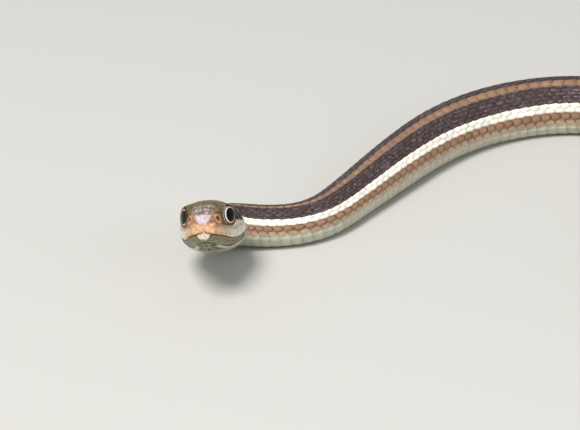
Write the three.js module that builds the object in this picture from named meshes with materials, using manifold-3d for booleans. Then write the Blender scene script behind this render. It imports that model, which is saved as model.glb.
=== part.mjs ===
// A garter snake at life size, at rest on the ground with its head a little raised.
// Millimetres, +Z up. The snake faces the viewer, who looks along +Y, and its body trails away to +X.
//
// The snake is drawn straight first: "along" runs from the snout to the tip of the tail, "across"
// runs to the snake's own right, and "up" is height over the middle line of the body. One bent
// line, the route, then lays the straight snake on the ground.

import * as THREE from 'three';
import Module from 'manifold-3d';

// Sizes of the whole animal.
const LENGTH = 560;
const VENT = 375;
const HEAD_END = 17.4;
const NODE_GAP = 0.3;

// The route. Each bend is [where its middle is, half its length, turn in degrees to the left].
const FIRST_HEADING = 83.6;
const BENDS = [
  [22.8, 5.8, -76.6],
  [37, 9.8, 48.7],
  [80.9, 25.1, -39.2],
  [113, 33, -114],
  [200, 43, 197],
  [296, 44, -195],
  [386, 40, 180],
  [456, 32, -146],
  [514, 30, 88],
];
const HEAD_PITCH = 32;
const LIFT_MIDDLE = 22.6;
const LIFT_HALF = 16.2;
const LIFT_END = 26;
const FIRST_ROLL = 6.3;
const ROLLS = [
  [24, 9, -2.3],
  [71.2, 22, -14.7],
];
const BELLY_FLAT = 0.12;
const ROUTE_STEP = 0.5;

// The middle of the finished model's base, counted from the snout.
const BASE_MIDDLE = [125.12, 23.01];

// Sections of the body: [along, half width, top, bottom, height of the widest line,
// squareness above it, squareness below it].
const SECTIONS = [
  [0, 0.95, 0.7, 1.85, -0.4, 2.2, 2.2],
  [0.35, 1.5, 1.25, 2.6, -0.6, 2.3, 2.3],
  [1, 2.0, 1.8, 2.95, -0.8, 2.4, 2.4],
  [2.4, 2.65, 2.5, 3.25, -0.9, 2.5, 2.4],
  [4.4, 3.25, 3.2, 3.45, -0.9, 2.6, 2.3],
  [6.4, 3.7, 3.75, 3.65, -0.7, 2.7, 2.3],
  [8.4, 4.15, 4.0, 3.7, -0.6, 2.6, 2.3],
  [10.4, 4.65, 4.05, 3.75, -0.5, 2.4, 2.3],
  [12.6, 5.0, 4.0, 3.8, -0.4, 2.3, 2.3],
  [14.6, 4.85, 3.85, 3.75, -0.3, 2.2, 2.3],
  [16.4, 4.35, 3.65, 3.6, -0.15, 2.1, 2.4],
  [18.6, 3.85, 3.45, 3.4, 0, 2, 2.5],
  [21, 3.55, 3.3, 3.3, 0, 2, 2.6],
  [26, 3.42, 3.15, 3.15, 0, 2, 2.6],
  [33, 3.4, 3.1, 3.1, 0, 2, 2.6],
  [45, 3.65, 3.35, 3.25, 0, 2, 2.6],
  [60, 4.25, 4.0, 3.7, 0, 2, 2.6],
  [78, 4.75, 4.45, 4.1, 0, 2, 2.6],
  [100, 5.0, 4.6, 4.3, 0, 2, 2.6],
  [180, 5.1, 4.8, 4.5, 0, 2, 2.6],
  [260, 5.0, 4.7, 4.4, 0, 2, 2.6],
  [330, 4.6, 4.3, 4.0, 0, 2, 2.6],
  [375, 4.0, 3.8, 3.5, 0, 2, 2.6],
  [400, 3.5, 3.3, 3.0, 0, 2, 2.5],
  [460, 2.6, 2.4, 2.2, 0, 2, 2.4],
  [520, 1.7, 1.6, 1.4, 0, 2, 2.3],
  [556, 0.75, 0.7, 0.65, 0, 2, 2],
  [560, 0.35, 0.35, 0.35, 0, 2, 2],
];

// Eyes: balls that stand out of the sides of the head, each with a rim of small shields.
const EYE_AT = 6.4;
const EYE_ACROSS = 2.75;
const EYE_UP = 1.3;
const EYE_RADIUS = 1.6;
const EYE_GAP = 0.3;
const EYE_OUTWARD = 60;
const RIM_RADIUS = 1.62;
const RIM_THICK = 0.22;
const RIM_OUT = 0.62;

// Line of the mouth: [along, up]. The jaw stops where the corner of the mouth is.
const MOUTH = [
  [0, -1.6],
  [0.4, -1.9],
  [1.2, -2.0],
  [4, -2.05],
  [7, -2.12],
  [9.8, -1.8],
  [11.5, -1.25],
  [12.6, -0.7],
];
const MOUTH_CORNER = 11.95;
const JAW_FRONT = 0.6;
const JAW_INSET = 0.1;
const NOSTRIL = [1.9, 1.0];
const NOSTRIL_RADIUS = 0.3;

// Shields of the head, and the wide belly scutes.
const SHIELD_RAISE = 0.13;
const SHIELD_ROOT = 0.35;
const SHIELD_SEAM = 0.12;
const SCUTE_PITCH = 4.5;
const SCUTE_RAISE = 0.2;
const SCUTE_STEP = 0.3;
const SCUTE_EDGE = 98;
const BODY_ANGLES = [0, 22, 43, 63, 82, 98, 116, 137, 158, 180];

// Edges shorter than this are closed up.
const SHORTEST_EDGE = 0.03;

const NECK_END = 50;
const TORSO_ENDS = [100, 152, 203, 250, 298, 340, VENT];
const TAIL_ENDS = [425, 480, LENGTH];

const radians = (degrees) => degrees * Math.PI / 180;

// Goes from 0 to 1 with no corner as x goes from -1 to 1.
function smooth(x) {
  const t = Math.min(1, Math.max(-1, x));
  return 0.5 * (1 + t + Math.sin(Math.PI * t) / Math.PI);
}

function turned(start, bends, along) {
  let angle = start;
  for (const [middle, half, turn] of bends) {
    angle += turn * smooth((along - middle) / half);
  }
  return radians(angle);
}

// A smooth line through one column of a table, that never swings past its rows.
function column(table, index, along) {
  const last = table.length - 1;
  if (along <= table[0][0]) return table[0][index];
  if (along >= table[last][0]) return table[last][index];
  let row = 0;
  while (along > table[row + 1][0]) {
    row += 1;
  }
  const rise = (r) => (table[r + 1][index] - table[r][index]) / (table[r + 1][0] - table[r][0]);
  const slope = (r) => {
    if (r === 0) return rise(0);
    if (r === last) return rise(last - 1);
    const before = rise(r - 1);
    const after = rise(r);
    return before * after <= 0 ? 0 : 2 * before * after / (before + after);
  };
  const span = table[row + 1][0] - table[row][0];
  const t = (along - table[row][0]) / span;
  const start = table[row][index];
  const end = table[row + 1][index];
  return start * (1 + 2 * t) * (1 - t) ** 2 + end * t * t * (3 - 2 * t)
    + span * t * (1 - t) * (slope(row) * (1 - t) - slope(row + 1) * t);
}

// The route as points with a frame of directions at each.
function layRoute() {
  const count = Math.round(LENGTH / ROUTE_STEP);
  const heading = (s) => turned(FIRST_HEADING, BENDS, s);
  const pitch = (s) => -radians(HEAD_PITCH) * (1 - smooth((s - LIFT_MIDDLE) / LIFT_HALF));
  const points = [new THREE.Vector3(0, 0, 0)];
  for (let i = 0; i < count; i += 1) {
    const s = (i + 0.5) * ROUTE_STEP;
    const level = ROUTE_STEP * Math.cos(pitch(s));
    const step = new THREE.Vector3(
      level * Math.cos(heading(s)),
      level * Math.sin(heading(s)),
      ROUTE_STEP * Math.sin(pitch(s)),
    );
    points.push(points[i].clone().add(step));
  }
  // Behind the raised part the belly rests on the ground. In front of it the slope alone counts.
  const ground = points[count].z;
  const rest = (s) => column(SECTIONS, 3, Math.max(s, LIFT_END)) - BELLY_FLAT;
  for (let i = 0; i <= count; i += 1) {
    points[i].x -= BASE_MIDDLE[0];
    points[i].y -= BASE_MIDDLE[1];
    points[i].z += rest(i * ROUTE_STEP) - ground;
  }
  return points.map((point, i) => {
    const before = points[Math.max(0, i - 1)];
    const after = points[Math.min(count, i + 1)];
    const ahead = after.clone().sub(before).normalize();
    const side = new THREE.Vector3(-ahead.y, ahead.x, 0).normalize();
    const top = new THREE.Vector3().crossVectors(ahead, side).normalize();
    const roll = turned(FIRST_ROLL, ROLLS, i * ROUTE_STEP);
    const right = side.clone().multiplyScalar(Math.cos(roll)).addScaledVector(top, -Math.sin(roll));
    const up = top.clone().multiplyScalar(Math.cos(roll)).addScaledVector(side, Math.sin(roll));
    return { point, ahead, right, up };
  });
}

const route = layRoute();

// Lays a point of the straight snake on the route, and flattens what would sink into the ground.
function place([along, across, up]) {
  const at = Math.min(LENGTH, Math.max(0, along)) / ROUTE_STEP;
  const index = Math.min(route.length - 2, Math.floor(at));
  const t = at - index;
  const from = route[index];
  const to = route[index + 1];
  const mixed = (key) => from[key].clone().lerp(to[key], t);
  const beyond = along - Math.min(LENGTH, Math.max(0, along));
  const spot = mixed('point')
    .addScaledVector(mixed('ahead').normalize(), beyond)
    .addScaledVector(mixed('right').normalize(), across)
    .addScaledVector(mixed('up').normalize(), up);
  spot.z = Math.max(0, spot.z);
  return spot;
}

// A point of the straight snake's skin. The angle runs from 0 on the back to 180 on the belly.
function skin(along, angle, side) {
  const half = column(SECTIONS, 1, along);
  const top = column(SECTIONS, 2, along);
  const bottom = column(SECTIONS, 3, along);
  const wide = column(SECTIONS, 4, along);
  const power = 2 / column(SECTIONS, angle <= 90 ? 5 : 6, along);
  const sine = Math.abs(Math.sin(radians(angle))) ** power;
  const cosine = Math.abs(Math.cos(radians(angle))) ** power;
  const up = angle <= 90 ? wide + (top - wide) * cosine : wide - (bottom + wide) * cosine;
  return [along, side * half * sine, up];
}

// The same point moved out of the skin, square to it.
function raised(along, angle, side, height) {
  const small = 0.05;
  const [s, across, up] = skin(along, angle, side);
  const ahead = new THREE.Vector3(...skin(along + small, angle, side))
    .sub(new THREE.Vector3(...skin(Math.max(0, along - small), angle, side)));
  const round = new THREE.Vector3(...skin(along, Math.min(179, angle + 1), side))
    .sub(new THREE.Vector3(...skin(along, Math.max(1, angle - 1), side)));
  const out = new THREE.Vector3().crossVectors(round, ahead).normalize();
  if (out.y * side * Math.sin(radians(angle)) + out.z * Math.cos(radians(angle)) < 0) {
    out.negate();
  }
  return [s + out.x * height, across + out.y * height, up + out.z * height];
}

// Angle at which the skin is this far from the middle, above the widest line.
function angleAcross(along, across) {
  const half = column(SECTIONS, 1, along);
  const power = column(SECTIONS, 5, along) / 2;
  return Math.asin(Math.min(1, Math.abs(across) / half) ** power) * 180 / Math.PI;
}

// Angle at which the skin is this high.
function angleAtHeight(along, up) {
  const wide = column(SECTIONS, 4, along);
  if (up >= wide) {
    const share = Math.min(1, (up - wide) / (column(SECTIONS, 2, along) - wide));
    return Math.acos(share ** (column(SECTIONS, 5, along) / 2)) * 180 / Math.PI;
  }
  const share = Math.min(0.98, (wide - up) / (column(SECTIONS, 3, along) + wide));
  return 180 - Math.acos(share ** (column(SECTIONS, 6, along) / 2)) * 180 / Math.PI;
}

// A closed surface from rings with the same number of points, with a fan over each end.
function loft(rings) {
  const around = rings[0].length;
  const points = rings.flat();
  const faces = [];
  for (let r = 0; r + 1 < rings.length; r += 1) {
    for (let i = 0; i < around; i += 1) {
      const a = r * around + i;
      const b = r * around + (i + 1) % around;
      faces.push([a, b, b + around], [a, b + around, a + around]);
    }
  }
  for (const [ring, turn] of [[0, 1], [rings.length - 1, 0]]) {
    const middle = new THREE.Vector3();
    rings[ring].forEach((point) => middle.add(point));
    points.push(middle.divideScalar(around));
    for (let i = 0; i < around; i += 1) {
      const a = ring * around + i;
      const b = ring * around + (i + 1) % around;
      faces.push(turn ? [points.length - 1, b, a] : [points.length - 1, a, b]);
    }
  }
  return { points, faces };
}

// Volume inside a surface, below 0 when its faces point inwards.
function volume({ points, faces }) {
  let sum = 0;
  for (const [a, b, c] of faces) {
    sum += points[a].dot(new THREE.Vector3().crossVectors(points[b], points[c])) / 6;
  }
  return sum;
}

function facingOut(shape) {
  if (volume(shape) > 0) return shape;
  return { points: shape.points, faces: shape.faces.map(([a, b, c]) => [a, c, b]) };
}

const wasm = await Module();
wasm.setup();
const { Manifold, Mesh: SolidMesh } = wasm;

function solid(shape) {
  const { points, faces } = facingOut(shape);
  return new Manifold(new SolidMesh({
    numProp: 3,
    vertProperties: new Float32Array(points.flatMap((point) => [point.x, point.y, point.z])),
    triVerts: new Uint32Array(faces.flat()),
  }));
}

function ball(centre, radius, segments) {
  return Manifold.sphere(radius, segments).translate([centre.x, centre.y, centre.z]);
}

// One shield: a thin plate with a bevelled edge that lies on the skin. Corners are [along, angle].
function shield(corners, side) {
  const edge = [];
  corners.forEach((corner, i) => {
    const next = corners[(i + 1) % corners.length];
    for (const t of [0, 1 / 2]) {
      edge.push([corner[0] + (next[0] - corner[0]) * t, corner[1] + (next[1] - corner[1]) * t]);
    }
  });
  const middle = [0, 1].map((key) => edge.reduce((sum, point) => sum + point[key], 0) / edge.length);
  const ring = (size, height) => edge.map((point) => {
    const along = middle[0] + (point[0] - middle[0]) * size;
    const angle = middle[1] + (point[1] - middle[1]) * size;
    return place(raised(along, Math.abs(angle), angle < 0 ? -side : side, height));
  });
  return solid(loft([
    ring(0.5, SHIELD_RAISE),
    ring(0.9, SHIELD_RAISE),
    ring(1, 0),
    ring(1, -SHIELD_ROOT),
    ring(0.4, -SHIELD_ROOT),
  ]));
}

const byAcross = (corners) => corners.map(([along, across]) => (
  [along, Math.sign(across) * angleAcross(along, across)]));
const byHeight = (corners) => corners.map(([along, up]) => [along, angleAtHeight(along, up)]);

// Shields in one row along the mouth, between two heights counted from the line of the mouth.
function lipRow(edges, low, high, side) {
  const row = [];
  for (let i = 0; i + 1 < edges.length; i += 1) {
    const front = edges[i] + SHIELD_SEAM / 2;
    const back = edges[i + 1] - SHIELD_SEAM / 2;
    row.push(shield(byHeight([
      [front, column(MOUTH, 1, front) + low],
      [back, column(MOUTH, 1, back) + low],
      [back, column(MOUTH, 1, back) + high],
      [front, column(MOUTH, 1, front) + high],
    ]), side));
  }
  return row;
}

// Head: skull, upper jaw and cheeks in one piece, open below along the line of the mouth.
function headRing(along) {
  const outside = 10;
  const palate = 4;
  const open = along < MOUTH_CORNER + 0.2;
  const mouth = column(MOUTH, 1, Math.min(along, MOUTH_CORNER)) + NODE_GAP / 2;
  const lip = angleAtHeight(along, mouth);
  const half = [];
  for (let i = 1; i <= outside; i += 1) {
    half.push((side) => place(skin(along, lip * i / outside, side)));
  }
  for (let i = 1; i < palate; i += 1) {
    const t = i / palate;
    half.push((side) => {
      if (!open) return place(skin(along, lip + (180 - lip) * t, side));
      const [, across, up] = skin(along, lip, side);
      return place([along, across * (1 - t), up]);
    });
  }
  const [, , lipUp] = skin(along, lip, 1);
  const crown = place(skin(along, 0, 1));
  const middle = open ? place([along, 0, lipUp]) : place(skin(along, 180, 1));
  return [
    crown,
    ...half.map((point) => point(1)),
    middle,
    ...half.map((point) => point(-1)).reverse(),
  ];
}

function makeHead() {
  const rings = [];
  for (const along of [0, 0.3, 0.7, 1.2, 1.8, 2.5, 3.3]) {
    rings.push(headRing(along));
  }
  for (let along = 4.1; along < MOUTH_CORNER; along += 0.8) {
    rings.push(headRing(along));
  }
  rings.push(headRing(MOUTH_CORNER + 0.15), headRing(MOUTH_CORNER + 0.4));
  for (let along = 13; along < HEAD_END - 0.5; along += 0.8) {
    rings.push(headRing(along));
  }
  rings.push(headRing(HEAD_END - NODE_GAP / 2));
  const pieces = [solid(loft(rings))];
  for (const side of [1, -1]) {
    const crown = [
      [[0.95, 0.1], [2.2, 0.1], [2.3, 1.3], [1.5, 1.35]],
      [[2.35, 0.1], [4.3, 0.1], [4.6, 1.9], [2.5, 1.6]],
      [[4.6, 1.3], [4.9, 2.3], [6.4, 2.85], [8.3, 2.6], [8.6, 0.95]],
      [[9.15, 0.08], [8.75, 0.95], [8.6, 2.5], [10.6, 3.2], [13.3, 2.0], [13.7, 0.08]],
    ];
    for (const corners of crown) {
      pieces.push(shield(byAcross(corners), side));
    }
    const cheek = [
      [[2.7, -0.3], [3.6, -0.4], [3.7, 1.4], [2.8, 1.3]],
      [[9.0, 0.0], [10.9, 0.3], [10.9, 2.2], [9.0, 2.0]],
      [[11.1, 0.5], [13, 0.9], [13, 2.4], [11.1, 2.3]],
    ];
    for (const corners of cheek) {
      pieces.push(shield(byHeight(corners), side));
    }
    pieces.push(...lipRow([1.25, 2.5, 3.7, 4.9, 6.2, 7.7, 9.4, 11.5], 0.25, 1.35, side));
    pieces.push(eyeRim(side));
  }
  const frontal = [[4.5, 0], [4.55, 1.15], [8.2, 0.78], [9, 0], [8.2, -0.78], [4.55, -1.15]];
  pieces.push(shield(byAcross(frontal), 1));
  let head = Manifold.union(pieces);
  for (const side of [1, -1]) {
    head = head.subtract(ball(eyeCentre(side), EYE_RADIUS + EYE_GAP, 36));
    const nostril = skin(NOSTRIL[0], angleAtHeight(NOSTRIL[0], NOSTRIL[1]), side);
    head = head.subtract(ball(place(nostril), NOSTRIL_RADIUS, 12));
  }
  return head;
}

function eyeCentre(side) {
  return place([EYE_AT, side * EYE_ACROSS, EYE_UP]);
}

// Direction in which the middle of the pupil looks.
function gaze(side) {
  const turn = radians(EYE_OUTWARD);
  const tip = place([EYE_AT - Math.cos(turn), side * (EYE_ACROSS + Math.sin(turn)), EYE_UP]);
  return tip.sub(eyeCentre(side)).normalize();
}

// The low ring of small shields round the eye.
function eyeRim(side) {
  const rim = new THREE.TorusGeometry(RIM_RADIUS, RIM_THICK, 8, 32);
  const centre = eyeCentre(side).addScaledVector(gaze(side), RIM_OUT);
  const turn = new THREE.Quaternion().setFromUnitVectors(new THREE.Vector3(0, 0, 1), gaze(side));
  const spots = [];
  const around = 32;
  const tube = 8;
  const at = rim.getAttribute('position');
  for (let j = 0; j < tube; j += 1) {
    for (let i = 0; i < around; i += 1) {
      const spot = new THREE.Vector3().fromBufferAttribute(at, j * (around + 1) + i);
      spots.push(spot.applyQuaternion(turn).add(centre));
    }
  }
  const faces = [];
  for (let j = 0; j < tube; j += 1) {
    for (let i = 0; i < around; i += 1) {
      const a = j * around + i;
      const b = j * around + (i + 1) % around;
      const c = ((j + 1) % tube) * around + i;
      const d = ((j + 1) % tube) * around + (i + 1) % around;
      faces.push([a, b, d], [a, d, c]);
    }
  }
  return solid({ points: spots, faces });
}

// Lower jaw: chin and lower lips, with chin shields below.
function jawRing(along) {
  const outside = 7;
  const floor = 4;
  const lipUp = column(MOUTH, 1, along) - NODE_GAP / 2;
  const lip = angleAtHeight(along, lipUp);
  const half = [];
  for (let i = 0; i < outside; i += 1) {
    const angle = 180 + (lip - 180) * (1 - i / outside);
    half.push((side) => place(raised(along, angle, side, -JAW_INSET)));
  }
  half.reverse();
  const corner = (side) => raised(along, lip, side, -JAW_INSET);
  const inside = [];
  for (let i = 1; i < floor; i += 1) {
    inside.push((side) => {
      const [s, across, up] = corner(side);
      return place([s, across * i / floor, up]);
    });
  }
  return [
    place(raised(along, 179.9, 1, -JAW_INSET)),
    ...half.map((point) => point(1)),
    ...inside.map((point) => point(1)).reverse(),
    place([corner(1)[0], 0, corner(1)[2]]),
    ...inside.map((point) => point(-1)),
    ...half.map((point) => point(-1)).reverse(),
  ];
}

function makeJaw() {
  const rings = [];
  for (const along of [JAW_FRONT, 0.85, 1.3, 1.9, 2.6]) {
    rings.push(jawRing(along));
  }
  for (let along = 3.4; along < MOUTH_CORNER - 0.6; along += 0.8) {
    rings.push(jawRing(along));
  }
  rings.push(jawRing(MOUTH_CORNER - 0.15));
  const pieces = [solid(loft(rings))];
  for (const side of [1, -1]) {
    pieces.push(...lipRow([1.4, 2.6, 3.9, 5.3, 6.9, 8.7, 10.8], -0.95, -0.3, side));
    const chin = [
      [[2.1, 176], [4.6, 176], [4.8, 154], [2.9, 153]],
      [[5, 176], [8.2, 172], [8.2, 156], [5.2, 155]],
    ];
    for (const corners of chin) {
      pieces.push(shield(corners, side));
    }
  }
  return Manifold.union(pieces);
}

// One length of the body. The scutes under it widen to their free rear edges, like tiles.
function bodyRing(along, raise) {
  const half = BODY_ANGLES.slice(1, -1);
  const spot = (angle, side) => place(raised(along, angle, side, angle > SCUTE_EDGE ? raise : raise * 0.4));
  const dorsal = (angle, side) => place(skin(along, angle, side));
  const point = (angle, side) => (angle < SCUTE_EDGE ? dorsal(angle, side) : spot(angle, side));
  return [
    dorsal(0, 1),
    ...half.map((angle) => point(angle, 1)),
    spot(180, 1),
    ...half.map((angle) => point(angle, -1)).reverse(),
  ];
}

function makeLength(start, end) {
  const from = start + NODE_GAP / 2;
  const to = end < LENGTH ? end - NODE_GAP / 2 : end;
  const count = Math.round((to - from) / SCUTE_PITCH);
  const pitch = (to - from) / count;
  const rings = [];
  for (let i = 0; i < count; i += 1) {
    const raise = SCUTE_RAISE * Math.min(1, column(SECTIONS, 1, from + i * pitch) / 3);
    rings.push(bodyRing(from + i * pitch, 0));
    rings.push(bodyRing(from + (i + 1) * pitch - (i + 1 < count ? SCUTE_STEP : 0), raise));
  }
  return loft(rings);
}

// Points and faces of a solid's largest closed surface, without edges too short to make.
function shapeOf(body) {
  const parts = body.simplify(SHORTEST_EDGE).decompose();
  parts.sort((a, b) => b.volume() - a.volume());
  const mesh = parts[0].getMesh();
  const points = [];
  for (let i = 0; i < mesh.vertProperties.length; i += mesh.numProp) {
    points.push(new THREE.Vector3(...mesh.vertProperties.slice(i, i + 3)));
  }
  const faces = [];
  for (let i = 0; i < mesh.triVerts.length; i += 3) {
    faces.push([...mesh.triVerts.slice(i, i + 3)]);
  }
  return { points, faces };
}

const snake = new THREE.Group();
snake.name = 'garter_snake';

function add(name, shape, colour, roughness) {
  const { points, faces } = facingOut(shape);
  const geometry = new THREE.BufferGeometry();
  geometry.setAttribute('position', new THREE.Float32BufferAttribute(
    points.flatMap((point) => [point.x, point.y, point.z]), 3));
  geometry.setIndex(faces.flat());
  geometry.computeVertexNormals();
  const mesh = new THREE.Mesh(geometry, new THREE.MeshStandardMaterial({ color: colour, roughness }));
  mesh.name = name;
  snake.add(mesh);
}

add('head', shapeOf(makeHead()), 0x8a6f52, 0.5);
add('lower_jaw', shapeOf(makeJaw()), 0xb9b28c, 0.5);
add('eye_right', shapeOf(ball(eyeCentre(1), EYE_RADIUS, 28)), 0x0a0a0c, 0.05);
add('eye_left', shapeOf(ball(eyeCentre(-1), EYE_RADIUS, 28)), 0x0a0a0c, 0.05);
add('neck', makeLength(HEAD_END, NECK_END), 0x4a3b38, 0.55);

let start = NECK_END;
TORSO_ENDS.forEach((end, i) => {
  add(`torso_${i + 1}`, makeLength(start, end), 0x463733, 0.55);
  start = end;
});
TAIL_ENDS.forEach((end, i) => {
  add(`tail_${i + 1}`, makeLength(start, end), 0x4a3d38, 0.55);
  start = end;
});

export default snake;
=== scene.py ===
import math

import bpy
import numpy as np
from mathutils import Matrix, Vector


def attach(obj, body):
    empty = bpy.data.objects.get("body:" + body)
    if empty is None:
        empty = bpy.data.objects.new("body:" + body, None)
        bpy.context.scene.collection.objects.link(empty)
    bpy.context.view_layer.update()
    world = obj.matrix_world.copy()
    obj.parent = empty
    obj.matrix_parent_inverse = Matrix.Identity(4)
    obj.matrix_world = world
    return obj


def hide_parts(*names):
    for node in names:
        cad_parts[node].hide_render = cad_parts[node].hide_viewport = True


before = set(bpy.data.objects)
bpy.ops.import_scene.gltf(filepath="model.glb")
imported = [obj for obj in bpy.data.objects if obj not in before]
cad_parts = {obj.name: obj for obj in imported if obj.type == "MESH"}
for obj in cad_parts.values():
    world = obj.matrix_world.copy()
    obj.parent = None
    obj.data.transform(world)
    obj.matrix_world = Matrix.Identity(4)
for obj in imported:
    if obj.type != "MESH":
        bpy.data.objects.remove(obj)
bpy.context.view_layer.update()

# Studio: a plain pale floor under the snake, one large soft lamp high on the left, a weaker one
# on the right, and an even pale surround. The camera looks down at the snake's face.
CAMERA_PLACE = (-0.11176, -0.4582, 0.2478)
CAMERA_DOWN = 28.0
CAMERA_LENS = 200.2
SENSOR_WIDTH = 36.0
NEAREST_SEEN = 0.01
FLOOR_SIZE = 6.0
FLOOR_DROP = 0.00005
FLOOR_COLOUR = (0.62, 0.62, 0.60, 1)
FLOOR_ROUGHNESS = 0.85
SURROUND_COLOUR = (0.98, 0.99, 1.0, 1)
SURROUND_STRENGTH = 0.4
# Each lamp's name, place, the point that it is turned to, width, power and colour.
LAMPS = [
    ("key_lamp", (-0.35, -0.40, 0.80), (-0.08, 0, 0.01), 0.35, 8.0, (1.0, 0.97, 0.92)),
    ("fill_lamp", (0.55, -0.5, 0.45), (-0.05, 0, 0.01), 0.6, 1.3, (0.96, 0.98, 1.0)),
]

bpy.ops.object.select_all(action="DESELECT")
bpy.ops.mesh.primitive_plane_add(size=FLOOR_SIZE, location=(0, 0, -FLOOR_DROP))
floor = bpy.context.object
floor.name = "floor"
floor_paint = bpy.data.materials.new("floor_paint")
floor_paint.use_nodes = True
floor_shader = floor_paint.node_tree.nodes["Principled BSDF"]
floor_shader.inputs["Base Color"].default_value = FLOOR_COLOUR
floor_shader.inputs["Roughness"].default_value = FLOOR_ROUGHNESS
floor.data.materials.append(floor_paint)
bpy.ops.object.transform_apply(location=True, rotation=True, scale=True)

for lamp_name, lamp_place, aim, width, power, colour in LAMPS:
    bpy.ops.object.light_add(type="AREA", location=lamp_place)
    lamp = bpy.context.object
    lamp.name = lamp_name
    lamp.data.shape = "DISK"
    lamp.data.size = width
    lamp.data.energy = power
    lamp.data.color = colour
    toward = Vector(aim) - Vector(lamp_place)
    lamp.rotation_euler = toward.to_track_quat("-Z", "Y").to_euler()

world = bpy.data.worlds.new("surround")
bpy.context.scene.world = world
world.use_nodes = True
world.node_tree.nodes["Background"].inputs["Color"].default_value = SURROUND_COLOUR
world.node_tree.nodes["Background"].inputs["Strength"].default_value = SURROUND_STRENGTH

bpy.ops.object.camera_add(location=CAMERA_PLACE, rotation=(math.radians(90 - CAMERA_DOWN), 0, 0))
camera = bpy.context.object
camera.data.lens = CAMERA_LENS
camera.data.sensor_width = SENSOR_WIDTH
camera.data.clip_start = NEAREST_SEEN
bpy.context.scene.camera = camera
bpy.context.scene.view_settings.view_transform = "Standard"

# Skin: one hide from the snout to the tip of the tail, thin and close over the muscles, with the
# head's large horny shields as part of it. It is drawn straight, in millimetres along, across and
# up, and laid on the ground along one bent line, the same one as the solids follow.
MM = 0.001
LENGTH = 560
VENT = 375
FIRST_HEADING = 83.6
BENDS = [
    (22.8, 5.8, -76.6),
    (37, 9.8, 48.7),
    (80.9, 25.1, -39.2),
    (113, 33, -114),
    (200, 43, 197),
    (296, 44, -195),
    (386, 40, 180),
    (456, 32, -146),
    (514, 30, 88),
]
HEAD_PITCH = 32
LIFT_MIDDLE = 22.6
LIFT_HALF = 16.2
LIFT_END = 26
FIRST_ROLL = 6.3
ROLLS = [(24, 9, -2.3), (71.2, 22, -14.7)]
BELLY_FLAT = 0.12
ROUTE_STEP = 0.5
BASE_MIDDLE = (125.12, 23.01)

# Along, half width, top, bottom, height of the widest line, squareness above it and below it.
SECTIONS = np.array([
    (0, 0.95, 0.7, 1.85, -0.4, 2.2, 2.2),
    (0.35, 1.5, 1.25, 2.6, -0.6, 2.3, 2.3),
    (1, 2.0, 1.8, 2.95, -0.8, 2.4, 2.4),
    (2.4, 2.65, 2.5, 3.25, -0.9, 2.5, 2.4),
    (4.4, 3.25, 3.2, 3.45, -0.9, 2.6, 2.3),
    (6.4, 3.7, 3.75, 3.65, -0.7, 2.7, 2.3),
    (8.4, 4.15, 4.0, 3.7, -0.6, 2.6, 2.3),
    (10.4, 4.65, 4.05, 3.75, -0.5, 2.4, 2.3),
    (12.6, 5.0, 4.0, 3.8, -0.4, 2.3, 2.3),
    (14.6, 4.85, 3.85, 3.75, -0.3, 2.2, 2.3),
    (16.4, 4.35, 3.65, 3.6, -0.15, 2.1, 2.4),
    (18.6, 3.85, 3.45, 3.4, 0, 2, 2.5),
    (21, 3.55, 3.3, 3.3, 0, 2, 2.6),
    (26, 3.42, 3.15, 3.15, 0, 2, 2.6),
    (33, 3.4, 3.1, 3.1, 0, 2, 2.6),
    (45, 3.65, 3.35, 3.25, 0, 2, 2.6),
    (60, 4.25, 4.0, 3.7, 0, 2, 2.6),
    (78, 4.75, 4.45, 4.1, 0, 2, 2.6),
    (100, 5.0, 4.6, 4.3, 0, 2, 2.6),
    (180, 5.1, 4.8, 4.5, 0, 2, 2.6),
    (260, 5.0, 4.7, 4.4, 0, 2, 2.6),
    (330, 4.6, 4.3, 4.0, 0, 2, 2.6),
    (375, 4.0, 3.8, 3.5, 0, 2, 2.6),
    (400, 3.5, 3.3, 3.0, 0, 2, 2.5),
    (460, 2.6, 2.4, 2.2, 0, 2, 2.4),
    (520, 1.7, 1.6, 1.4, 0, 2, 2.3),
    (556, 0.75, 0.7, 0.65, 0, 2, 2),
    (560, 0.35, 0.35, 0.35, 0, 2, 2),
])
# Height of the line of the mouth along the head.
MOUTH = np.array([(0, -1.6), (0.4, -1.9), (1.2, -2.0), (4, -2.05), (7, -2.12), (9.8, -1.8),
                  (11.5, -1.25), (12.6, -0.7)])
MOUTH_CORNER = 12.3
NOSTRIL = (1.7, 0.57)
NOSE_ROUND = 0.5


def smooth(x):
    t = np.clip(x, -1, 1)
    return 0.5 * (1 + t + np.sin(np.pi * t) / np.pi)


def turned(start, bends, along):
    angle = np.full_like(along, start, dtype=float)
    for middle, half, turn in bends:
        angle += turn * smooth((along - middle) / half)
    return np.radians(angle)


def column(table, index, along):
    """A smooth line through one column of a table, that never swings past its rows."""
    x, y = table[:, 0], table[:, index]
    along = np.clip(along, x[0], x[-1])
    rise = np.diff(y) / np.diff(x)
    slope = np.zeros(len(x))
    slope[0], slope[-1] = rise[0], rise[-1]
    before, after = rise[:-1], rise[1:]
    same = before * after > 0
    slope[1:-1][same] = 2 * before[same] * after[same] / (before[same] + after[same])
    row = np.clip(np.searchsorted(x, along, side="left") - 1, 0, len(x) - 2)
    span = x[row + 1] - x[row]
    t = (along - x[row]) / span
    return (y[row] * (1 + 2 * t) * (1 - t) ** 2 + y[row + 1] * t * t * (3 - 2 * t)
            + span * t * (1 - t) * (slope[row] * (1 - t) - slope[row + 1] * t))


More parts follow.
